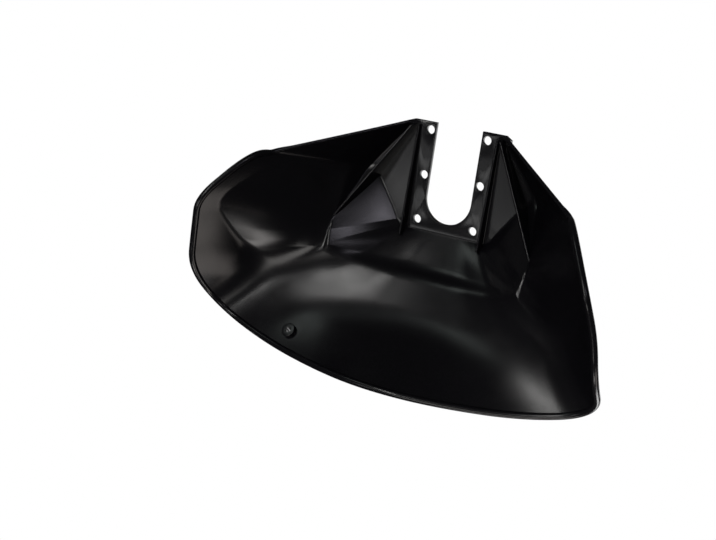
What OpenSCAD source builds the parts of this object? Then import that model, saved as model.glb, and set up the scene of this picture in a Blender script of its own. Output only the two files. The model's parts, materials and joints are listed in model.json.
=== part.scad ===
// Blade guard of a grass trimmer, moulded in one piece.
// +Z is up in use, +Y points to the rear, and the front is open for the drive tube.
// The origin is the centre of the slot's round end, on the flange's mounting face.

/* [Overall] */
// Half of the width across the wing tips, to the middle of the rim bead
half_w = 171; // [160:1:185]
// Distance from the slot's round end to the rear rim
reach = 138; // [130:1:150]
// Distance from the slot's round end to the front edge of the flange
front = 59; // [54:1:66]
// Depth of the wing tips below the mounting face
drop = 119; // [110:1:128]

/* [Flange] */
// Width of the flange
flange_w = 72; // [68:1:80]
// Distance from the slot's round end to the rear edge of the flange
flange_back = 28; // [26:1:34]
// Thickness of the flange
flange_t = 4; // [3.6:0.2:6]
// Radius of the flange's front corners
corner_r = 4; // [2:0.5:8]
// How far the front corners spread past the flange's sides, at the front edge
horn_front = 3.5; // [3:0.5:5]
// How far they spread where the wing's front edge leaves them
horn = 8.5; // [8:0.5:10]
// Distance from the front edge back to that place
horn_back = 3; // [2.4:0.2:4]
// Width of the slot for the gearbox neck
slot_w = 40; // [34:1:42]

/* [Screw holes] */
// Diameter of the six screw holes
hole_d = 7; // [5.5:0.1:7.4]
// Distance between the two rows of holes
row_gap = 49.4; // [48:0.2:52]
// Distance from one hole to the next along a row
hole_pitch = 36.4; // [34:0.2:37]
// Distance from the slot's round end to the rearmost pair of holes
back_hole = 20.3; // [18:0.1:21]

/* [Shell] */
// Thickness of the moulded wall
wall = 2.6; // [2.2:0.2:3]
// Diameter of the bead round the rim
bead_d = 5.4; // [4.8:0.2:6]
// Length of each leg of the soft turn between deck and skirt
turn_leg = 15; // [6:1:18]

/* [Ribs] */
// Thickness of the four ribs
rib_t = 2.6; // [1.8:0.1:3.4]
// Distance from the centre plane to the middle of a side rib
side_rib_x = 34.2; // [33:0.1:34.6]
// Depth of a side rib's free edge below the mounting face, at the front
side_rib_front = 6.8; // [6:0.2:10]
// Depth of a side rib's free edge below the mounting face, at the rear
side_rib_rear = 12.4; // [11:0.2:16]
// Length of a side rib behind the flange
side_rib_tail = 6; // [3:0.5:9]
// Depth of a gusset's free edge below the mounting face, at the front
gusset_front = 12; // [9:0.5:16]

/* [Cutter boss] */
// Diameter of the boss on the skirt
boss_d = 11.6; // [9:0.2:14]
// Height of the boss above the inner face of the skirt
boss_h = 3.2; // [2:0.2:5]
// Diameter of the hole through the boss
boss_hole_d = 4.3; // [3.2:0.1:5.4]

/* [Hidden] */
$fn = 64;

// Half of the flange's width
half_flange = flange_w / 2;
// How far the shell's plate reaches into the flange
lap = 4;
// Depth of the shell's outer face below the mounting face
sink = 0.5;
// Depth of the plate's inner face below the mounting face
plate_z = wall + sink;
// How far a cut passes through what it cuts
over = 1;
// How deep a rib's root and a boss's foot stand in the wall
root = wall / 2;

// Facets of the shell: steps between two stations, and points round the bead
steps = 3;
bead_points = 6;

// Each place on the inner face is three shares. The first runs from -1 at the centre plane to
// 0 at the flange's side and 1 at the wing tip, the second from -1 at the flange's front to 0 at
// its rear edge and 1 at the rear rim, and the third from 0 at the plate to 1 at the lowest depth.
function stretch(share, low, mid, high) =
    share < 0 ? mid + share * (mid - low) : mid + share * (high - mid);
function place(s) = [
    stretch(s[0], 0, half_flange, half_w),
    stretch(s[1], -front, flange_back, reach),
    -plate_z - s[2] * (drop - plate_z)
];

// Inner edge of the plate, inside the flange, as shares of the flange less the lap
lap_shares = [
    [1, -0.97], [1, -0.7], [1, -0.5], [1, -0.38], [1, -0.2], [1, -0.11],
    [1, -0.03], [0.88, 0], [0.6, 0], [0.3, 0], [0, 0]
];
// Edge of the level plate, from the front corner over the crease to the rear of the flange
plate_shares = [
    [0.027, -0.946, 0], [0.185, -0.638, 0], [0.252, -0.5, 0], [0.193, -0.391, 0], [0.074, -0.126, 0],
    [0.044, -0.046, 0.002], [0.015, -0.011, 0.006], [-0.028, 0.005, 0.006], [-0.278, 0.005, 0.004],
    [-0.639, 0.005, 0.004], [-1, 0.005, 0.004]
];
// Top edge of the small step round the recess
step_shares = [
    [0.037, -0.946, 0.002], [0.208, -0.617, 0.002], [0.274, -0.486, 0.003], [0.304, -0.34, 0.073],
    [0.365, 0, 0.251], [0.359, 0.1, 0.299], [0.347, 0.182, 0.32], [0.344, 0.209, 0.329],
    [0.156, 0.241, 0.208], [-0.194, 0.255, 0.143], [-1, 0.259, 0.126]
];
// Foot of that step, where the deck begins
foot_shares = [
    [0.045, -0.946, 0.004], [0.219, -0.609, 0.005], [0.284, -0.476, 0.007], [0.309, -0.34, 0.079],
    [0.37, 0, 0.26], [0.373, 0.127, 0.303], [0.372, 0.218, 0.329], [0.37, 0.255, 0.338],
    [0.163, 0.3, 0.26], [-0.167, 0.309, 0.208], [-1, 0.309, 0.195]
];
// Line where deck and skirt meet, from the wing tip to the rear centre
turn_shares = [
    [0.852, -0.057, 0.909], [0.837, 0.182, 0.697], [0.785, 0.345, 0.506], [0.667, 0.5, 0.411],
    [0.444, 0.591, 0.403], [0.104, 0.636, 0.377], [-1, 0.627, 0.351]
];
// Rim, from the front corner over the wing tip to the rear centre
rim_shares = [
    [0.06, -0.943, 0.048], [0.504, -0.635, 0.479], [0.65, -0.538, 0.627], [0.717, -0.495, 0.782],
    [0.903, -0.065, 1.008], [0.962, 0.222, 0.912], [0.991, 0.495, 0.859], [0.973, 0.812, 0.518],
    [0.579, 0.957, 0.579], [0.113, 0.99, 0.732], [-1, 0.98, 0.826]
];
// Radius of the plain edge ahead of the bead, as a share of the wall
bead_start_share = 0.54;
// Stations from the front corner at which the bead begins, and over which it grows
bead_from = 1.5;
bead_growth = 1;
// Share of the deck's width that the line of the turn takes, ahead of the wing tip
early_turn_share = 0.8;
// How far the rim, and the edges above it, turn softly on each side of a station
rim_soft_shares = [0, 0.5, 0.33, 0.5, 0.35, 0.5, 0.5, 0.5, 0.5, 0.5, 0.5];
edge_soft_shares = [0, 0, 0.33, 0, 0.08, 0, 0, 0.16, 0.2, 0.3, 0.5];
// Length of the turn's legs at each station, as a share of the full length
leg_shares = [0, 0, 0, 0, 0, 0.25, 0.6, 0.9, 1, 1, 1];
// Longest that a leg may be, and what every leg has besides, as shares of the wall that it lies on
leg_limit_share = 0.45;
leg_least_share = 0.02;

last = len(rim_shares) - 1;
ahead = len(rim_shares) - len(turn_shares);

function mix(a, b, t) = a + (b - a) * t;
function unit(v) = v / norm(v);
function flip(p) = [-p[0], p[1], p[2]];
function across(row) = concat(row, [flip(row[last - 1])]);

lap_row = across([
    for (s = lap_shares)
        [s[0] * (half_flange - lap), flange_back - lap + s[1] * (front + flange_back - lap), -plate_z]
]);
plate_row = across([for (s = plate_shares) place(s)]);
step_row = across([for (s = step_shares) place(s)]);
foot_row = across([for (s = foot_shares) place(s)]);
rim_row = across([for (s = rim_shares) place(s)]);
turn_row = across([
    for (k = [0 : last])
        k < ahead ? mix(foot_row[k], rim_row[k], early_turn_share) : place(turn_shares[k - ahead])
]);

// A row is straight from station to station, with a parabola round each station
function along(row, soft, u) =
    let (k = round(u), d = u - k, r = soft[k], j = min(floor(u), last - 1))
    k > 0 && abs(d) < r
        ? let (t = (d + r) / (2 * r), a = mix(row[k], row[k - 1], r), b = mix(row[k], row[k + 1], r))
            mix(mix(a, row[k], t), mix(row[k], b, t), t)
        : mix(row[j], row[j + 1], u - j);
function value(list, u) =
    let (j = min(floor(u), last - 1)) mix(list[j], list[j + 1], u - j);

// Where the section's points lie along the deck, the soft turn and the skirt
deck_shares = [0.5];
bend_shares = [0, 0.33, 0.67, 1];
skirt_shares = [0.5, 1];

// Points of the inner face at station u, from inside the flange to the rim
function inner(u) =
    let (
        plate = along(plate_row, edge_soft_shares, u),
        step = along(step_row, edge_soft_shares, u),
        foot = along(foot_row, edge_soft_shares, u),
        turn = along(turn_row, rim_soft_shares, u),
        rim = along(rim_row, rim_soft_shares, u),
        leg = turn_leg * value(leg_shares, u),
        up = min(leg / norm(turn - foot), leg_limit_share),
        down = min(leg / norm(rim - turn), leg_limit_share),
        a = mix(turn, foot, up + leg_least_share),
        b = mix(turn, rim, down + leg_least_share)
    )
    concat(
        [along(lap_row, edge_soft_shares, u), plate, step, foot],
        [for (t = deck_shares) mix(foot, a, t)],
        [for (t = bend_shares) mix(mix(a, turn, t), mix(turn, b, t), t)],
        [for (t = skirt_shares) mix(b, rim, t)]
    );

half_face = [for (i = [0 : steps * last]) inner(i / steps)];
face = concat(half_face, [for (i = [steps * last - 1 : -1 : 0]) [for (p = half_face[i]) flip(p)]]);
rows = len(face);
cols = len(face[0]);
function outward(i, j) = j == 0 ? [0, 0, 1] :
    unit(cross(
        face[i][min(j + 1, cols - 1)] - face[i][max(j - 1, 0)],
        face[min(i + 1, rows - 1)][j] - face[max(i - 1, 0)][j]
    ));

// Closed section at station i: inner face, round the bead, and back along the outer face
function bead_angle(k, gap) = -180 + gap + k * (360 - 2 * gap) / (bead_points - 1);
function section(i) =
    let (
        n = outward(i, cols - 1),
        d = unit(face[i][cols - 1] - face[i][cols - 2]),
        t = unit(d - n * (d * n)),
        grow = max(0, min(1, (min(i, rows - 1 - i) / steps - bead_from) / bead_growth)),
        r = mix(wall * bead_start_share, bead_d / 2, grow),
        gap = asin(wall / 2 / r),
        c = face[i][cols - 1] + n * wall / 2
    )
    concat(
        [for (j = [0 : cols - 2]) face[i][j]],
        [for (k = [0 : bead_points - 1])
            c + t * (r * cos(bead_angle(k, gap))) + n * (r * sin(bead_angle(k, gap)))],
        [for (j = [cols - 2 : -1 : 0]) face[i][j] + outward(i, j) * wall]
    );

sections = [for (i = [0 : rows - 1]) section(i)];
ring = len(sections[0]);

module shell() {
    polyhedron(
        points = [for (s = sections) each s],
        faces = concat(
            [[for (j = [ring - 1 : -1 : 0]) j]],
            [for (i = [0 : rows - 2], j = [0 : ring - 1])
                each let (a = i * ring + j, b = i * ring + (j + 1) % ring)
                    [[a, b, a + ring], [b, b + ring, a + ring]]],
            [[for (j = [0 : ring - 1]) (rows - 1) * ring + j]]
        )
    );
}

module flange_outline() {
    translate([-half_flange, corner_r - front])
        square([flange_w, front + flange_back - corner_r]);
    translate([corner_r - half_flange, -front])
        square([flange_w - 2 * corner_r, 2 * corner_r]);
    for (side = [-1, 1]) {
        translate([side * (half_flange - corner_r), corner_r - front])
            circle(corner_r);
        polygon([
            [side * (half_flange - corner_r), -front],
            [side * (half_flange + horn_front), -front],
            [side * (half_flange + horn), horn_back - front],
            [side * (half_flange + horn), 2 * horn_back - front],
            [side * (half_flange - corner_r), 6 * horn_back - front]
        ]);
    }
}

module flange() {
    translate([0, 0, -flange_t])
        linear_extrude(flange_t)
            flange_outline();
}

module neck_slot() {
    translate([0, 0, -flange_t - over])
        linear_extrude(flange_t + 2 * over) {
            circle(d = slot_w);
            translate([-slot_w / 2, -front - over])
                square([slot_w, front + over]);
        }
}

module screw_holes() {
    for (side = [-1, 1], k = [0 : 2])
        translate([side * row_gap / 2, back_hole - k * hole_pitch, -flange_t - over])
            cylinder(h = flange_t + 2 * over, d = hole_d);
}

// A rib stands in an upright plane from (x, y) at its front, turned by angle, and its outline
// gives the distance along it and the height
module upright(x, y, angle) {
    translate([x, y, 0])
        rotate([0, 0, angle])
            rotate([90, 0, 0])
                translate([0, 0, -rib_t / 2])
                    linear_extrude(rib_t)
                        children();
}

module side_rib() {
    front_y = -front + corner_r;
    length = flange_back + side_rib_tail - front_y;
    upright(side_rib_x, front_y, 90)
        polygon([
            [0, -root],
            [0, -side_rib_front],
            [length, -side_rib_rear],
            [length, -side_rib_front - root],
            [length - side_rib_tail, -plate_z + root],
            [length - side_rib_tail, -root]
        ]);
}

// The gusset runs from beside the flange's front corner to the end of the crease
gusset_out = 2.6;
gusset_back = 5.2;
gusset_from = [half_flange + gusset_out, gusset_back - front, 0];
gusset_to = foot_row[4];
gusset_run = [gusset_to[0] - gusset_from[0], gusset_to[1] - gusset_from[1]];
// Share of the gusset's length at which it leaves the level plate for the sloping panel
gusset_crease_share = 0.57;

module gusset() {
    length = norm(gusset_run);
    upright(gusset_from[0], gusset_from[1], atan2(gusset_run[1], gusset_run[0]))
        polygon([
            [0, -plate_z + root],
            [0, -gusset_front],
            [length, gusset_to[2] + root / 2],
            [length + root / 2, gusset_to[2] + root],
            [length * gusset_crease_share, -plate_z + root]
        ]);
}

// The boss stands square on the skirt's inner face, on the left. Its station counts along the
// rim, and its share runs from the soft turn to the rim.
boss_station = 8.29;
boss_share = 0.55;
// Stations on each side of the boss between which the skirt's slope is taken
station_step = 1 / steps;
function on_skirt(u, v) = let (p = inner(u)) flip(mix(p[cols - 3], p[cols - 1], v));
boss_foot = on_skirt(boss_station, boss_share);
boss_up = unit(cross(
    on_skirt(boss_station, 1) - on_skirt(boss_station, 0),
    on_skirt(boss_station - station_step, boss_share) - on_skirt(boss_station + station_step, boss_share)
));

module on_boss() {
    translate(boss_foot)
        rotate([0, acos(boss_up[2]), atan2(boss_up[1], boss_up[0])])
            children();
}

module boss() {
    on_boss()
        translate([0, 0, -boss_h])
            cylinder(h = boss_h + root, d = boss_d);
}

module boss_hole() {
    on_boss()
        translate([0, 0, -boss_h - over])
            cylinder(h = boss_h + 2 * wall + over, d = boss_hole_d);
}

module guard() {
    color("#2b2a2e")
        difference() {
            union() {
                flange();
                shell();
                for (side = [0, 1])
                    mirror([side, 0, 0]) {
                        side_rib();
                        gusset();
                    }
                boss();
            }
            neck_slot();
            screw_holes();
            boss_hole();
        }
}

guard();
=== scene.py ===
"""Blade guard of a grass trimmer, moulded in one piece from black polypropylene.

The shell is a surface of two parameters. One runs along the rim in stations, from the front
corner over the wing tip to the rear centre and on round the other side, and the other runs down
the section, from inside the flange to the rim. The ribs, flange and boss are surfaces of the
same kind, and all are united into the one moulding that the real guard is.
"""

import json
import math

import bmesh
import bpy
import numpy as np
from bpy.props import FloatProperty, FloatVectorProperty, PointerProperty
from mathutils import Matrix, Vector


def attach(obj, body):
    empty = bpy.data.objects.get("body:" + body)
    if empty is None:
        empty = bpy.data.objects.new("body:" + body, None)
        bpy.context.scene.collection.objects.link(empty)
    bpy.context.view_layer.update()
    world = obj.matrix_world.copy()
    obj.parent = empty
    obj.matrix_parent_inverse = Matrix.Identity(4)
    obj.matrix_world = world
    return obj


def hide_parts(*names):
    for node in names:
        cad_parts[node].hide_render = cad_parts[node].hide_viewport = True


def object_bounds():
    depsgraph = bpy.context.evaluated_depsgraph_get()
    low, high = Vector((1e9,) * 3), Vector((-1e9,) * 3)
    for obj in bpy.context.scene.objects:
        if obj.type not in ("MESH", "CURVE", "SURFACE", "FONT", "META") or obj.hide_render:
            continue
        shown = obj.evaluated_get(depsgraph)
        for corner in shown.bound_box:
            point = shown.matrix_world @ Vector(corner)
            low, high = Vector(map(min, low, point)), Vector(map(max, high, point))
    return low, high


bl_info = {
    "name": "Trimmer Blade Guard",
    "version": (1, 0, 0),
    "blender": (4, 5, 0),
    "location": "3D View > Sidebar > Guard",
    "description": "Builds a one-piece moulded blade guard and a plain studio for it",
    "category": "Add Mesh",
}

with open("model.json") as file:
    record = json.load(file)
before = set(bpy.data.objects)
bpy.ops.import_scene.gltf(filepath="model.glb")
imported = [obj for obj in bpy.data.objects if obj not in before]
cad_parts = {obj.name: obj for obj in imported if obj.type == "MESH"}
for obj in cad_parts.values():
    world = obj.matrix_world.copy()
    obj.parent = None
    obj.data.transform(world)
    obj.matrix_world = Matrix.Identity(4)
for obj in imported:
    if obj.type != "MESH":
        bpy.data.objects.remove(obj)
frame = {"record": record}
CAD_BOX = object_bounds()
MOUNTS = {mount["name"]: mount for mount in frame["record"]["mounts"]}
MM = 0.001

# Places on the inner face, each as three shares. The first runs from -1 at the centre plane to
# 0 at the flange's side and 1 at the wing tip, the second from -1 at the flange's front to 0 at
# its rear edge and 1 at the rear rim, and the third from 0 at the plate to 1 at the lowest depth.
PLATE_SHARES = [
    (0.027, -0.946, 0), (0.185, -0.638, 0), (0.252, -0.5, 0), (0.193, -0.391, 0),
    (0.074, -0.126, 0), (0.044, -0.046, 0.002), (0.015, -0.011, 0.006), (-0.028, 0.005, 0.006),
    (-0.278, 0.005, 0.004), (-0.639, 0.005, 0.004), (-1, 0.005, 0.004),
]
STEP_SHARES = [
    (0.037, -0.946, 0.002), (0.208, -0.617, 0.002), (0.274, -0.486, 0.003), (0.304, -0.34, 0.073),
    (0.365, 0, 0.251), (0.359, 0.1, 0.299), (0.347, 0.182, 0.32), (0.344, 0.209, 0.329),
    (0.156, 0.241, 0.208), (-0.194, 0.255, 0.143), (-1, 0.259, 0.126),
]
FOOT_SHARES = [
    (0.045, -0.946, 0.004), (0.219, -0.609, 0.005), (0.284, -0.476, 0.007), (0.309, -0.34, 0.079),
    (0.37, 0, 0.26), (0.373, 0.127, 0.303), (0.372, 0.218, 0.329), (0.37, 0.255, 0.338),
    (0.163, 0.3, 0.26), (-0.167, 0.309, 0.208), (-1, 0.309, 0.195),
]
TURN_SHARES = [
    (0.852, -0.057, 0.909), (0.837, 0.182, 0.697), (0.785, 0.345, 0.506), (0.667, 0.5, 0.411),
    (0.444, 0.591, 0.403), (0.104, 0.636, 0.377), (-1, 0.627, 0.351),
]
RIM_SHARES = [
    (0.06, -0.943, 0.048), (0.504, -0.635, 0.479), (0.65, -0.538, 0.627), (0.717, -0.495, 0.782),
    (0.903, -0.065, 1.008), (0.962, 0.222, 0.912), (0.991, 0.495, 0.859), (0.973, 0.812, 0.518),
    (0.579, 0.957, 0.579), (0.113, 0.99, 0.732), (-1, 0.98, 0.826),
]
# Inner edge of the plate, inside the flange, as shares of the flange less the lap
LAP_SHARES = [
    (1, -0.97), (1, -0.7), (1, -0.5), (1, -0.38), (1, -0.2), (1, -0.11),
    (1, -0.03), (0.88, 0), (0.6, 0), (0.3, 0), (0, 0),
]
EARLY_TURN_SHARE = 0.8
# How far a row turns softly on each side of a station, and how long the soft turn's legs are
RIM_SOFT_SHARES = [0, 0.5, 0.33, 0.5, 0.35, 0.5, 0.5, 0.5, 0.5, 0.5, 0.5]
EDGE_SOFT_SHARES = [0, 0, 0.33, 0, 0.08, 0, 0, 0.16, 0.2, 0.3, 0.5]
LEG_SHARES = [0.05, 0.05, 0.05, 0.05, 0.1, 0.25, 0.6, 0.9, 1, 1, 1]
LEG_LIMIT_SHARE = 0.45
# Station at which the bead begins, and the radius of the plain edge ahead of it in wall shares
BEAD_FROM_STATION = 1.5
PLAIN_EDGE_SHARE = 0.54
# Legs of the section's small soft turns, and the stations between which the two at the step
# behind the flange grow to the lip leg
SMALL_LEG = 1.5 * MM
LIP_STATIONS = (7, 8)
# Points on each straight stretch and on each soft turn of the section, from the lap to the rim
SPAN_COUNTS = (2, 6, 2, 10, 10)
BEND_COUNTS = (6, 5, 6, 14)
LEAST_SECTIONS = 14
STATIONS = len(RIM_SHARES) - 1
AHEAD = len(RIM_SHARES) - len(TURN_SHARES)
SHARP_ANGLE = math.radians(32)

# Ribs: how far a root reaches into the wall, how round a free edge is, where a rib starts and
# ends, and the heights of its free edge and root under the mounting face
RIB_SINK = 1.5 * MM
RIB_ROUND_SHARE = 0.8
RIB_LIFT_SHARE = 0.9
SIDE_RIB_BACK = 6 * MM
SIDE_RIB_TIPS = (-6.8 * MM, -12.4 * MM)
SIDE_RIB_ROOT_END = -8.2 * MM
GUSSET_OUT = 2.6 * MM
GUSSET_BACK = 5.2 * MM
GUSSET_LEAD = 4.4 * MM
GUSSET_TIP = -12 * MM
GUSSET_LEVEL_SHARE = 0.57
GUSSET_END_TIP = 0.7 * MM
GUSSET_END_ROOT = 1.6 * MM

# Boss: the round of its free edge, and the flare at the mouth of its hole
BOSS_ROUND = 0.7 * MM
FLARE = 0.5 * MM
FLARE_DEPTH = 0.3 * MM
OVERRUN = 0.2 * MM
# Ejector pin marks, as shares of the flange's half width and of its front or back reach
PIN_SHARES = ((0.69, -0.57), (0.69, 0.05))
PIN_DRAFT = 0.1 * MM
SLOT_POINTS = 49
HOLE_POINTS = 41

# Finish of the plastic: grain and clouds, the depth of the grain, and the roughness range
GRAIN = 0.9 * MM
CLOUD = 28 * MM
GRAIN_DEPTH = 0.05 * MM
GRAIN_STRENGTH = 0.12
ROUGHNESS = (0.21, 0.27)
CLOUD_RANGE = (0.3, 0.7)


def to_linear(code):
    """Turns an sRGB hex code into linear red, green and blue."""
    parts = [int(code[i : i + 2], 16) / 255 for i in (1, 3, 5)]
    return tuple(c / 12.92 if c <= 0.04045 else ((c + 0.055) / 1.055) ** 2.4 for c in parts)


def length_of(name, text, value):
    """A length that the user can change, in metres."""
    return FloatProperty(name=name, description=text, default=value, min=0, unit="LENGTH")


class GuardSizes(bpy.types.PropertyGroup):
    """Driving sizes of the moulding."""

    half_width: length_of("Half width", "From the centre to the rim at a wing tip", 0.171)
    reach: length_of("Reach", "From the slot's round end to the rear rim", 0.138)
    front: length_of("Front", "From the slot's round end to the flange's front edge", 0.059)
    drop: length_of("Drop", "From the mounting face to the wing tips", 0.119)
    flange_width: length_of("Flange width", "Width of the flange", 0.072)
    flange_back: length_of("Flange back", "From the slot's round end to the rear edge", 0.028)
    flange_thickness: length_of("Flange thickness", "Thickness of the flange", 0.004)
    corner_radius: length_of("Corner radius", "Radius of the flange's front corners", 0.004)
    horn_front: length_of("Horn front", "Spread of the front corners at the front edge", 0.0035)
    horn: length_of("Horn", "Spread of the front corners at the wing's front edge", 0.0085)
    horn_back: length_of("Horn back", "From the front edge back to the wing's front edge", 0.003)
    slot_width: length_of("Slot width", "Width of the slot for the neck", 0.040)
    wall: length_of("Wall", "Thickness of the shell", 0.0026)
    sink: length_of("Sink", "Depth of the shell's outer face in the flange", 0.0005)
    lap: length_of("Lap", "How far the shell's plate reaches into the flange", 0.004)
    bead: length_of("Bead", "Diameter of the bead round the rim", 0.0054)
    turn_leg: length_of("Turn leg", "Leg of the soft turn between deck and skirt", 0.015)
    lip_leg: length_of("Lip leg", "Leg of the soft turns at the step behind the flange", 0.005)
    edge_round: length_of("Edge round", "Rounding of the moulding's small edges", 0.0004)
    rib_tip: length_of("Rib tip", "Thickness of a rib at its free edge", 0.0021)
    rib_root: length_of("Rib root", "Thickness of a rib at the wall", 0.0029)
    side_rib_x: length_of("Side rib place", "From the centre to a side rib", 0.0342)
    boss: length_of("Boss", "Diameter of the boss on the skirt", 0.0116)
    pin_mark: length_of("Pin mark", "Diameter of an ejector pin's mark", 0.0084)
    pin_depth: length_of("Pin depth", "Depth of an ejector pin's mark", 0.00015)
    boss_height: length_of("Boss height", "Height of the boss", 0.0032)


class GuardColours(bpy.types.PropertyGroup):
    """Colours of the moulding and of the studio."""

    plastic: FloatVectorProperty(
        name="Plastic",
        description="Black of the moulding",
        subtype="COLOR",
        size=3,
        min=0,
        max=1,
        default=to_linear("#0E0D11"),
    )
    floor: FloatVectorProperty(
        name="Floor",
        description="Pale studio floor",
        subtype="COLOR",
        size=3,
        min=0,
        max=1,
        default=to_linear("#E6E6E8"),
    )


# Shapes


def stretch(share, low, mid, high):
    """A share from -1 to 0 lies between low and mid, and one from 0 to 1 between mid and high."""
    return np.where(share < 0, mid + share * (mid - low), mid + share * (high - mid))


def place(shares, s):
    """Turns rows of three shares into points of the inner face."""
    a = np.array(shares, float)
    top = s.wall + s.sink
    x = stretch(a[:, 0], 0, s.flange_width / 2, s.half_width)
    y = stretch(a[:, 1], -s.front, s.flange_back, s.reach)
    return np.column_stack([x, y, -top - a[:, 2] * (s.drop - top)])


def unit(vectors):
    """Vectors of length one, along the last axis."""
    return vectors / np.linalg.norm(vectors, axis=-1, keepdims=True)


def across(row):
    """Adds the first point past the centre plane, so that a row turns smoothly over it."""
    return np.vstack([row, row[-2] * [-1, 1, 1]])


def along(row, soft, u):
    """A row is straight between stations, with a parabola round each: within soft of station k
    the point is the quadratic Bezier curve of row[k] and the two points soft away from it."""
    soft = np.array(soft, float)
    k = np.floor(u + 0.5).astype(int)
    j = np.minimum(np.floor(u).astype(int), STATIONS - 1)
    d, r = u - k, soft[k]
    straight = row[j] + (row[j + 1] - row[j]) * (u - j)[:, None]
    reach = np.where(r > 0, r, 1)[:, None]
    t = (d[:, None] + reach) / (2 * reach)
    here = row[k]
    before = here + (row[np.maximum(k - 1, 0)] - here) * reach
    after = here + (row[np.minimum(k + 1, STATIONS + 1)] - here) * reach
    bend = before * (1 - t) ** 2 + 2 * here * t * (1 - t) + after * t**2
    return np.where(((k > 0) & (np.abs(d) < r))[:, None], bend, straight)


def rounded_section(corners, legs, spans, bends):
    """Section lines through corners, each corner cut by a parabola with the given leg. Every
    argument but the counts is an array over the stations, and so is each point of the result."""
    parts, start = [], corners[0]
    for c in range(1, len(corners) - 1):
        back, ahead = corners[c - 1] - corners[c], corners[c + 1] - corners[c]
        far_back = np.linalg.norm(back, axis=1, keepdims=True)
        far_ahead = np.linalg.norm(ahead, axis=1, keepdims=True)
        leg = np.broadcast_to(legs[c - 1], (len(back),))[:, None]
        a = corners[c] + back * np.minimum(leg / far_back, LEG_LIMIT_SHARE)
        b = corners[c] + ahead * np.minimum(leg / far_ahead, LEG_LIMIT_SHARE)
        t = np.arange(spans[c - 1])[None, :, None] / spans[c - 1]
        parts.append(start[:, None] * (1 - t) + a[:, None] * t)
        t = np.arange(bends[c - 1])[None, :, None] / bends[c - 1]
        mid = corners[c][:, None]
        parts.append(a[:, None] * (1 - t) ** 2 + 2 * mid * t * (1 - t) + b[:, None] * t**2)
        start = b
    t = np.linspace(0, 1, spans[-1] + 1)[None, :, None]
    parts.append(start[:, None] * (1 - t) + corners[-1][:, None] * t)
    return np.concatenate(parts, axis=1)


def station_values(rim, step):
    """Values of u for the sections, about step apart along the rim, with a least count between
    two stations."""
    gaps = np.linalg.norm(np.diff(rim[: STATIONS + 1], axis=0), axis=1)
    counts = np.maximum(np.ceil(gaps / step).astype(int), LEAST_SECTIONS)
    return np.concatenate([k + np.arange(n) / n for k, n in enumerate(counts)] + [[STATIONS]])


def inner_half(s, u, short):
    """Inner face of the right half at stations u, from inside the flange to where the bead
    begins, short of the rim."""
    lap = np.array(LAP_SHARES, float)
    lap_row = across(
        np.column_stack([
            lap[:, 0] * (s.flange_width / 2 - s.lap),
            s.flange_back - s.lap + lap[:, 1] * (s.front + s.flange_back - s.lap),
            np.full(len(lap), -s.wall - s.sink),
        ])
    )
    plate, step, foot, rim = (
        across(place(rows, s)) for rows in (PLATE_SHARES, STEP_SHARES, FOOT_SHARES, RIM_SHARES)
    )
    early = foot[:AHEAD] + (rim[:AHEAD] - foot[:AHEAD]) * EARLY_TURN_SHARE
    turn = across(np.vstack([early, place(TURN_SHARES, s)]))
    corners = [along(row, EDGE_SOFT_SHARES, u) for row in (lap_row, plate, step, foot)]
    corners += [along(row, RIM_SOFT_SHARES, u) for row in (turn, rim)]
    ahead = unit(np.gradient(corners[-1], axis=0))
    down = unit(corners[-1] - corners[-2])
    slant = np.sqrt(1 - np.sum(ahead * down, axis=1) ** 2)
    corners[-1] = corners[-1] - down * (short / slant)[:, None]
    leg = s.turn_leg * np.interp(u, np.arange(STATIONS + 1), LEG_SHARES)
    lip = np.interp(u, LIP_STATIONS, (SMALL_LEG, s.lip_leg))
    return rounded_section(corners, [SMALL_LEG, lip, lip, leg], SPAN_COUNTS, BEND_COUNTS)


def grid_normals(points):
    """Unit normals of a grid: the cross product of its two directions."""
    return unit(np.cross(np.gradient(points, axis=1), np.gradient(points, axis=0)))


def shell_rings(s, step=2.4 * MM, bead_points=16):
    """Closed rings across the wall: the inner face, an arc of the bead square to the rim, and the
    outer face one wall away along the normals. The bead grows from the front edge's plain round."""
    u = station_values(place(RIM_SHARES, s), step)
    grow = np.clip(u - BEAD_FROM_STATION, 0, 1)
    r = PLAIN_EDGE_SHARE * s.wall * (1 - grow) + s.bead / 2 * grow
    gap = np.arcsin(s.wall / 2 / r)
    half = inner_half(s, u, r * np.cos(gap))
    inner = np.concatenate([half, half[-2::-1] * [-1, 1, 1]])
    r, gap = (np.concatenate([values, values[-2::-1]])[:, None] for values in (r, gap))
    normals = grid_normals(inner)
    normals[:, 0] = (0, 0, 1)
    n = normals[:, -1]
    run = np.cross(n, unit(np.gradient(inner[:, -1], axis=0)))
    run = unit(run * np.sign(np.sum(run * (inner[:, -1] - inner[:, -2]), axis=1, keepdims=True)))
    centre = inner[:, -1] + run * r * np.cos(gap) + n * s.wall / 2
    angle = -np.pi + gap + np.linspace(0, 1, bead_points) * (2 * np.pi - 2 * gap)
    arc = centre[:, None] + run[:, None] * (r * np.cos(angle))[..., None]
    arc += n[:, None] * (r * np.sin(angle))[..., None]
    outer = (inner + normals * s.wall)[:, -2::-1]
    return np.concatenate([inner[:, :-1], arc, outer], axis=1)


def mesh_of_rings(name, rings):
    """A closed skin over rings of equal count: quads between rings and a face over each end."""
    rows, ring = rings.shape[:2]
    i, j = np.meshgrid(np.arange(rows - 1), np.arange(ring), indexing="ij")
    a, b = i * ring + j, i * ring + (j + 1) % ring
    quads = np.stack([a, b, b + ring, a + ring], axis=-1).reshape(-1, 4).tolist()
    ends = [list(range(ring))[::-1], [(rows - 1) * ring + k for k in range(ring)]]
    mesh = bpy.data.meshes.new(name)
    mesh.from_pydata(rings.reshape(-1, 3), [], quads + ends)
    return new_object(name, mesh)


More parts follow.
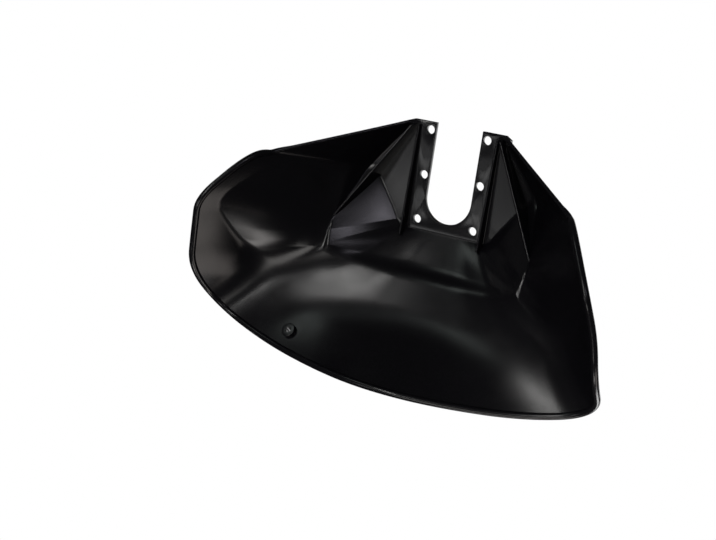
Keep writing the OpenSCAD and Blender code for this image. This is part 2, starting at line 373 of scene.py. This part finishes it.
def new_object(name, mesh):
    """Links a mesh to the scene, with its normals turned outwards."""
    bm = bmesh.new()
    bm.from_mesh(mesh)
    bmesh.ops.remove_doubles(bm, verts=bm.verts, dist=1e-7)
    bmesh.ops.recalc_face_normals(bm, faces=bm.faces)
    bm.to_mesh(mesh)
    bm.free()
    piece = bpy.data.objects.new(name, mesh)
    bpy.context.scene.collection.objects.link(piece)
    return piece


def arc_points(centre, radius, start, end, count):
    """Points of a flat arc, from start to end in radians."""
    t = np.linspace(start, end, count)
    return np.column_stack([centre[0] + radius * np.cos(t), centre[1] + radius * np.sin(t)])


def flange_loops(s):
    """Outline of the flange with its slot, anticlockwise, and the screw holes, clockwise."""
    w, back = s.flange_width / 2, s.horn_back
    joint = 2 * back + 4 * back * s.horn / (s.horn + s.corner_radius)
    right = np.array([
        (s.slot_width / 2, -s.front),
        (w + s.horn_front, -s.front),
        (w + s.horn, back - s.front),
        (w + s.horn, 2 * back - s.front),
        (w, joint - s.front),
        (w, s.flange_back),
    ])
    slot = arc_points((0, 0), s.slot_width / 2, np.pi, 0, SLOT_POINTS)[1:-1]
    outline = np.vstack([right, right[::-1] * [-1, 1], [(-s.slot_width / 2, 0)], slot,
                         [(s.slot_width / 2, 0)]])
    holes = []
    for name in ("screw_corners", "screw_middle"):
        mount = MOUNTS[name]
        half_x = mount["dims"]["spacing_x_mm"] * MM / 2
        half_y = mount["dims"].get("spacing_y_mm", 0) * MM / 2
        for side_x in (-1, 1):
            for side_y in (-1, 1) if half_y else (0,):
                at = (side_x * half_x, mount["pos_m"][1] + side_y * half_y)
                r = mount["dims"]["hole_r_mm"] * MM
                holes.append(arc_points(at, r, 2 * np.pi, 0, HOLE_POINTS)[:-1])
    return outline, holes


def inset(loop, depth):
    """Moves each corner of a closed loop to the left of its direction by depth, mitred."""
    ahead = np.roll(loop, -1, axis=0) - loop
    ahead /= np.linalg.norm(ahead, axis=1, keepdims=True)
    side = np.column_stack([-ahead[:, 1], ahead[:, 0]])
    both = side + np.roll(side, 1, axis=0)
    return loop + both * (2 * depth / np.sum(both**2, axis=1, keepdims=True))


def flange_plate(s):
    """The flange: every loop carries a wall with a quarter-round edge at each face."""
    outline, holes = flange_loops(s)
    bm = bmesh.new()
    e = s.edge_round
    turn = np.linspace(0, np.pi / 2, 4)
    depth, rise = e * (1 - np.sin(turn)), e * (1 - np.cos(turn))
    depths = np.concatenate([depth, depth[::-1]])
    heights = np.concatenate([-rise, (-s.flange_thickness + rise)[::-1]])
    caps = [[], []]
    for loop in [outline] + holes:
        rings = []
        for depth, height in zip(depths, heights):
            flat = inset(loop, depth)
            rings.append([bm.verts.new((p[0], p[1], height)) for p in flat])
        count = len(loop)
        for upper, lower in zip(rings, rings[1:]):
            for k in range(count):
                m = (k + 1) % count
                bm.faces.new((upper[k], lower[k], lower[m], upper[m]))
        for ring, cap in zip((rings[0], rings[-1]), caps):
            cap += [bm.edges.get((ring[k], ring[(k + 1) % count])) for k in range(count)]
    for cap in caps:
        bmesh.ops.triangle_fill(bm, use_beauty=True, use_dissolve=False, edges=cap)
    mesh = bpy.data.meshes.new("flange")
    bm.to_mesh(mesh)
    bm.free()
    return new_object("flange", mesh)


def rib(s, name, start, end, tips, roots, lead=0, count=40):
    """A drafted rib. Its section is a bar with a round tip, carried from start to end in plan.
    tips and roots give the free edge and the root as (share of the run, height) pairs, and the
    root starts lead before the free edge."""
    t = np.linspace(0, 1, count)
    tip = np.interp(t, *zip(*tips))
    root = np.interp(t, *zip(*roots))
    run = np.subtract(end, start)
    side = np.array([-run[1], run[0]]) / np.linalg.norm(run)
    r = s.rib_tip / 2 * RIB_ROUND_SHARE
    arc = np.linspace(0, np.pi, 9)
    across_tip = np.concatenate([[-s.rib_root / 2], -s.rib_tip / 2 + r - r * np.cos(arc[:5]),
                                 s.rib_tip / 2 - r - r * np.cos(arc[4:]), [s.rib_root / 2]])
    lift = np.concatenate([r - r * np.sin(arc[:5]), r - r * np.sin(arc[4:])])
    plan = np.array(start) + t[:, None] * run
    highest = RIB_LIFT_SHARE * np.maximum(root - tip, 0)[:, None]
    z = np.column_stack([root, tip[:, None] + np.minimum(lift, highest), root])
    xy = plan[:, None] + side * across_tip[None, :, None]
    xy[:, [0, -1]] -= (lead * (1 - t)[:, None] * run / np.linalg.norm(run))[:, None]
    return mesh_of_rings(name, np.dstack([xy, z]))


def front_corner(s, ring):
    """Fills the corner between the flange's horn and the first ring of the shell."""
    w = s.flange_width / 2
    horn = [(w + s.horn_front, -s.front), (w + s.horn, s.horn_back - s.front), (w, -s.front)]
    points = [(x, y, z) for x, y in horn for z in (-s.edge_round, s.edge_round - s.flange_thickness)]
    points = np.vstack([points, ring[ring[:, 2] < -s.wall]])
    bm = bmesh.new()
    for point in points:
        bm.verts.new(point)
    bmesh.ops.convex_hull(bm, input=bm.verts)
    mesh = bpy.data.meshes.new("front_corner")
    bm.to_mesh(mesh)
    bm.free()
    return new_object("front_corner", mesh)


def side_rib(s, side):
    """Stands under the flange beside the slot and runs on over the face behind it."""
    x = side * s.side_rib_x
    top = s.wall + s.sink
    y0, y1 = s.corner_radius - s.front, s.flange_back + SIDE_RIB_BACK
    edge = (s.flange_back - y0) / (y1 - y0)
    return rib(s, "side_rib", (x, y0), (x, y1), list(zip((0, 1), SIDE_RIB_TIPS)),
               [(0, -RIB_SINK), (edge, -top + RIB_SINK), (1, SIDE_RIB_ROOT_END)])


def gusset(s, side):
    """Runs from beside the flange's front corner to the end of the crease."""
    start = (side * (s.flange_width / 2 + GUSSET_OUT), GUSSET_BACK - s.front)
    foot = place([FOOT_SHARES[4]], s)[0]
    end = (side * foot[0], foot[1])
    top = s.wall + s.sink
    level = RIB_SINK - top
    return rib(s, "gusset", start, end, [(0, GUSSET_TIP), (1, foot[2] + GUSSET_END_TIP)],
               [(0, level), (GUSSET_LEVEL_SHARE, level), (1, foot[2] + GUSSET_END_ROOT)],
               lead=GUSSET_LEAD)


def turned(name, profile, centre, axis, count=48):
    """A profile of (radius, height) pairs turned about an axis through centre."""
    up = Vector(axis).normalized()
    turn = np.array(up.to_track_quat("Z", "Y").to_matrix())
    angle = np.arange(count) / count * 2 * np.pi
    r, h = np.array(profile, float).T
    rings = np.stack([np.outer(r, np.cos(angle)), np.outer(r, np.sin(angle)),
                      np.repeat(h[:, None], count, axis=1)], axis=-1)
    return mesh_of_rings(name, rings @ turn.T + np.array(centre))


def boss_solids(s):
    """The boss on the skirt and the round cutter for its hole, square to the skirt."""
    mount = MOUNTS["cutter_boss"]
    r, h, e = s.boss / 2, s.boss_height, BOSS_ROUND
    hole = mount["dims"]["r_mm"] * MM
    turn = np.linspace(0, np.pi / 2, 6)
    profile = [(r, -s.wall / 2)]
    profile += [(r - e + e * math.cos(t), h - e + e * math.sin(t)) for t in turn]
    profile += [(hole + e, h)]
    boss = turned("boss", profile, mount["pos_m"], mount["axis"])
    flare = [(hole, -2 * s.wall), (hole, h - FLARE_DEPTH), (hole + FLARE, h + OVERRUN)]
    cutter = turned("boss_hole", flare, mount["pos_m"], mount["axis"])
    return boss, cutter


def pin_marks(s):
    """Cutters for the shallow round marks that the mould's ejector pins leave underneath."""
    r, top = s.pin_mark / 2, s.pin_depth - s.flange_thickness
    profile = [(r - PIN_DRAFT, 0), (r + PIN_DRAFT, 2 * s.pin_depth)]
    marks = []
    for share_x, share_y in PIN_SHARES:
        x, y = share_x * s.flange_width / 2, share_y * (s.front if share_y < 0 else s.flange_back)
        marks += [turned("pin_mark", profile, (side * x, y, top), (0, 0, -1)) for side in (-1, 1)]
    return marks


def combine(base, other, how):
    """Unites base with other, or cuts other from it, and removes other."""
    step = base.modifiers.new(how, "BOOLEAN")
    step.operation = how
    step.solver = "MANIFOLD"
    step.object = other
    bpy.context.view_layer.objects.active = base
    bpy.ops.object.modifier_apply(modifier=step.name)
    bpy.data.objects.remove(other)


# Materials


def add_node(tree, kind, links=(), **settings):
    """Adds a node, sets its sockets and properties by name, and links (socket, output) pairs."""
    node = tree.nodes.new(kind)
    for key, value in settings.items():
        if key in node.inputs:
            node.inputs[key].default_value = value
        else:
            setattr(node, key, value)
    for socket, output in links:
        tree.links.new(output, node.inputs[socket])
    return node


def moulded_polypropylene(colours):
    """Black polypropylene from a spark-eroded mould: a fine satin grain with soft highlights."""
    material = bpy.data.materials.new("black_moulded_polypropylene")
    material.use_nodes = True
    tree = material.node_tree
    tree.nodes.clear()
    place_node = add_node(tree, "ShaderNodeTexCoord")
    where = place_node.outputs["Object"]
    grain = add_node(tree, "ShaderNodeTexNoise", [("Vector", where)],
                     Scale=1 / GRAIN, Detail=2.0, Roughness=0.6)
    cloud = add_node(tree, "ShaderNodeTexNoise", [("Vector", where)],
                     Scale=1 / CLOUD, Detail=3.0, Roughness=0.55)
    shine = add_node(tree, "ShaderNodeMapRange", [("Value", cloud.outputs["Fac"])])
    for key, value in zip(("From Min", "From Max", "To Min", "To Max"), CLOUD_RANGE + ROUGHNESS):
        shine.inputs[key].default_value = value
    bump = add_node(tree, "ShaderNodeBump", [("Height", grain.outputs["Fac"])],
                    Strength=GRAIN_STRENGTH, Distance=GRAIN_DEPTH)
    shader = add_node(
        tree, "ShaderNodeBsdfPrincipled",
        [("Roughness", shine.outputs["Result"]), ("Normal", bump.outputs["Normal"])],
        IOR=1.49,
    )
    shader.inputs["Base Color"].default_value = (*colours.plastic, 1)
    add_node(tree, "ShaderNodeOutputMaterial", [("Surface", shader.outputs["BSDF"])])
    return material


class GUARD_OT_moulding(bpy.types.Operator):
    """Build the guard as one united moulding"""

    bl_idname = "guard.moulding"
    bl_label = "Moulding"

    def execute(self, context):
        s = context.scene.guard_sizes
        rings = shell_rings(s)
        guard = mesh_of_rings("guard_moulding", rings)
        boss, cutter = boss_solids(s)
        small = flange_plate(s)
        corners = [front_corner(s, rings[0]), front_corner(s, rings[0])]
        corners[1].data.transform(Matrix.Scale(-1, 4, (1, 0, 0)))
        corners[1].data.flip_normals()
        for part in [side_rib(s, -1), side_rib(s, 1), gusset(s, -1), gusset(s, 1), boss, *corners]:
            combine(small, part, "UNION")
        combine(guard, small, "UNION")
        for hollow in [cutter, *pin_marks(s)]:
            combine(guard, hollow, "DIFFERENCE")
        guard.data.shade_smooth()
        guard.data.set_sharp_from_angle(angle=SHARP_ANGLE)
        guard.data.materials.clear()
        guard.data.materials.append(moulded_polypropylene(context.scene.guard_colours))
        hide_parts("guard")
        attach(guard, "root")
        return {"FINISHED"}


# Studio

# The camera's frame, fitted to the straight edges, holes and slot in the photograph: right, up
# and backward directions, and its place in metres. The lens is for a 36 mm wide frame.
CAMERA_RIGHT = (0.8641, -0.1407, 0.4833)
CAMERA_UP = (-0.2282, -0.9653, 0.1270)
CAMERA_BACK = (0.4486, -0.2200, -0.8662)
CAMERA_PLACE = (0.3848, -0.1492, -0.8839)
CAMERA_LENS = 61.03
CAMERA_SENSOR = 36
CAMERA_CLIP = 0.01
# Soft boxes, each with its direction from the guard in right, up and backward shares of the
# camera's frame, its distance, width, height, strength in watts and colour. The top one has its
# place, its side, strength and colour.
SOFT_BOXES = {
    "strip": ((-0.53, 0.27, 0.8), 2.5, 0.22, 1.6, 12, "#FFFEFC"),
    "low_left": ((-0.42, -0.58, 0.7), 2.5, 0.8, 0.8, 6, "#FFFCF8"),
    "left": ((-0.84, -0.22, 0.5), 2.5, 0.5, 0.5, 2.2, "#FFFFFF"),
    "high_left": ((-0.62, 0.73, 0.3), 2.5, 0.6, 0.6, 1.6, "#F4FFFA"),
    "camera": ((0.2, 0.3, 0.93), 2.5, 0.35, 0.35, 2.4, "#F6F2FF"),
    "below": ((-0.15, -0.97, 0.05), 2.5, 0.6, 0.6, 6, "#FFFBF8"),
    "low_right": ((0.5, -0.85, 0.12), 2.5, 1.1, 1.1, 7, "#FFF6F0"),
    "low_behind": ((0.37, -0.83, -0.41), 2.5, 0.95, 0.95, 14, "#FFFFFF"),
}
TOP_BOX = ((0.2, 0.3, 1.3), 1.2, 8, "#FFFFFF")
WORLD_STRENGTH = 0.04
FLOOR_HALF = 3.0
FLOOR_GAP = 0.2 * MM


def soft_box(name, place_at, toward, width, height, watts, colour):
    """A rectangular lamp that shines on toward."""
    lamp = bpy.data.lights.new(name, "AREA")
    lamp.shape = "RECTANGLE"
    lamp.size, lamp.size_y = width, height
    lamp.energy = watts
    lamp.color = to_linear(colour)
    light = bpy.data.objects.new(name, lamp)
    bpy.context.scene.collection.objects.link(light)
    light.location = place_at
    back = (Vector(place_at) - Vector(toward)).normalized()
    light.rotation_euler = back.to_track_quat("Z", "Y").to_euler()
    return light


class GUARD_OT_studio(bpy.types.Operator):
    """Add the camera, the soft boxes, the pale floor and the white background"""

    bl_idname = "guard.studio"
    bl_label = "Studio"

    def execute(self, context):
        scene = context.scene
        axes = Matrix((CAMERA_RIGHT, CAMERA_UP, CAMERA_BACK)).transposed()
        camera = bpy.data.objects.new("camera", bpy.data.cameras.new("camera"))
        scene.collection.objects.link(camera)
        camera.matrix_world = Matrix.Translation(CAMERA_PLACE) @ axes.to_4x4()
        camera.data.lens = CAMERA_LENS
        camera.data.sensor_width = CAMERA_SENSOR
        camera.data.sensor_fit = "HORIZONTAL"
        camera.data.clip_start = CAMERA_CLIP
        scene.camera = camera

        low, high = (np.array(corner) for corner in CAD_BOX)
        middle = Vector((low + high) / 2)
        for name, (way, far, *lamp) in SOFT_BOXES.items():
            soft_box(name, middle + axes @ Vector(way).normalized() * far, middle, *lamp)
        place_at, size, *lamp = TOP_BOX
        soft_box("top", place_at, middle, size, size, *lamp)

        floor = self.floor(scene, low[2])
        self.background(scene)
        scene.view_settings.view_transform = "Standard"
        return {"FINISHED"}

    def floor(self, scene, height):
        """A pale plane at the guard's lowest point, clear from below, where the camera is."""
        corners = np.array([(-1, -1), (1, -1), (1, 1), (-1, 1)]) * FLOOR_HALF
        mesh = bpy.data.meshes.new("floor")
        mesh.from_pydata(np.column_stack([corners, np.full(4, height - FLOOR_GAP)]), [], [(0, 1, 2, 3)])
        floor = bpy.data.objects.new("floor", mesh)
        scene.collection.objects.link(floor)
        floor.visible_shadow = False
        floor.visible_glossy = False
        material = bpy.data.materials.new("matt_studio_paper")
        material.use_nodes = True
        tree = material.node_tree
        tree.nodes.clear()
        side = add_node(tree, "ShaderNodeNewGeometry")
        paper = add_node(tree, "ShaderNodeBsdfDiffuse")
        paper.inputs["Color"].default_value = (*scene.guard_colours.floor, 1)
        clear = add_node(tree, "ShaderNodeBsdfTransparent")
        mix = add_node(tree, "ShaderNodeMixShader", [(0, side.outputs["Backfacing"])])
        tree.links.new(paper.outputs["BSDF"], mix.inputs[1])
        tree.links.new(clear.outputs["BSDF"], mix.inputs[2])
        add_node(tree, "ShaderNodeOutputMaterial", [("Surface", mix.outputs["Shader"])])
        mesh.materials.append(material)
        return floor

    def background(self, scene):
        """White where the camera sees it, and a dim even light for everything else."""
        world = bpy.data.worlds.new("studio")
        scene.world = world
        world.use_nodes = True
        tree = world.node_tree
        tree.nodes.clear()
        path = add_node(tree, "ShaderNodeLightPath")
        seen = add_node(tree, "ShaderNodeMath", operation="MAXIMUM")
        tree.links.new(path.outputs["Is Camera Ray"], seen.inputs[0])
        tree.links.new(path.outputs["Is Transmission Ray"], seen.inputs[1])
        dim = add_node(tree, "ShaderNodeBackground", Strength=WORLD_STRENGTH)
        white = add_node(tree, "ShaderNodeBackground", Strength=1.0)
        white.inputs["Color"].default_value = (1, 1, 1, 1)
        mix = add_node(tree, "ShaderNodeMixShader", [(0, seen.outputs["Value"])])
        tree.links.new(dim.outputs["Background"], mix.inputs[1])
        tree.links.new(white.outputs["Background"], mix.inputs[2])
        add_node(tree, "ShaderNodeOutputWorld", [("Surface", mix.outputs["Shader"])])


class GUARD_PT_panel(bpy.types.Panel):
    """Lists the guard's sizes, colours and building steps"""

    bl_label = "Blade guard"
    bl_idname = "GUARD_PT_panel"
    bl_space_type = "VIEW_3D"
    bl_region_type = "UI"
    bl_category = "Guard"

    def draw(self, context):
        for group in (context.scene.guard_sizes, context.scene.guard_colours):
            for key in group.__annotations__:
                self.layout.prop(group, key)
        for operator in OPERATORS:
            self.layout.operator(operator.bl_idname)


OPERATORS = (GUARD_OT_moulding, GUARD_OT_studio)
CLASSES = (GuardSizes, GuardColours, *OPERATORS, GUARD_PT_panel)


def register():
    for cls in CLASSES:
        bpy.utils.register_class(cls)
    bpy.types.Scene.guard_sizes = PointerProperty(type=GuardSizes)
    bpy.types.Scene.guard_colours = PointerProperty(type=GuardColours)


def unregister():
    del bpy.types.Scene.guard_colours
    del bpy.types.Scene.guard_sizes
    for cls in reversed(CLASSES):
        bpy.utils.unregister_class(cls)


def main():
    register()
    bpy.ops.guard.moulding()
    bpy.ops.guard.studio()


if __name__ == "__main__":
    main()
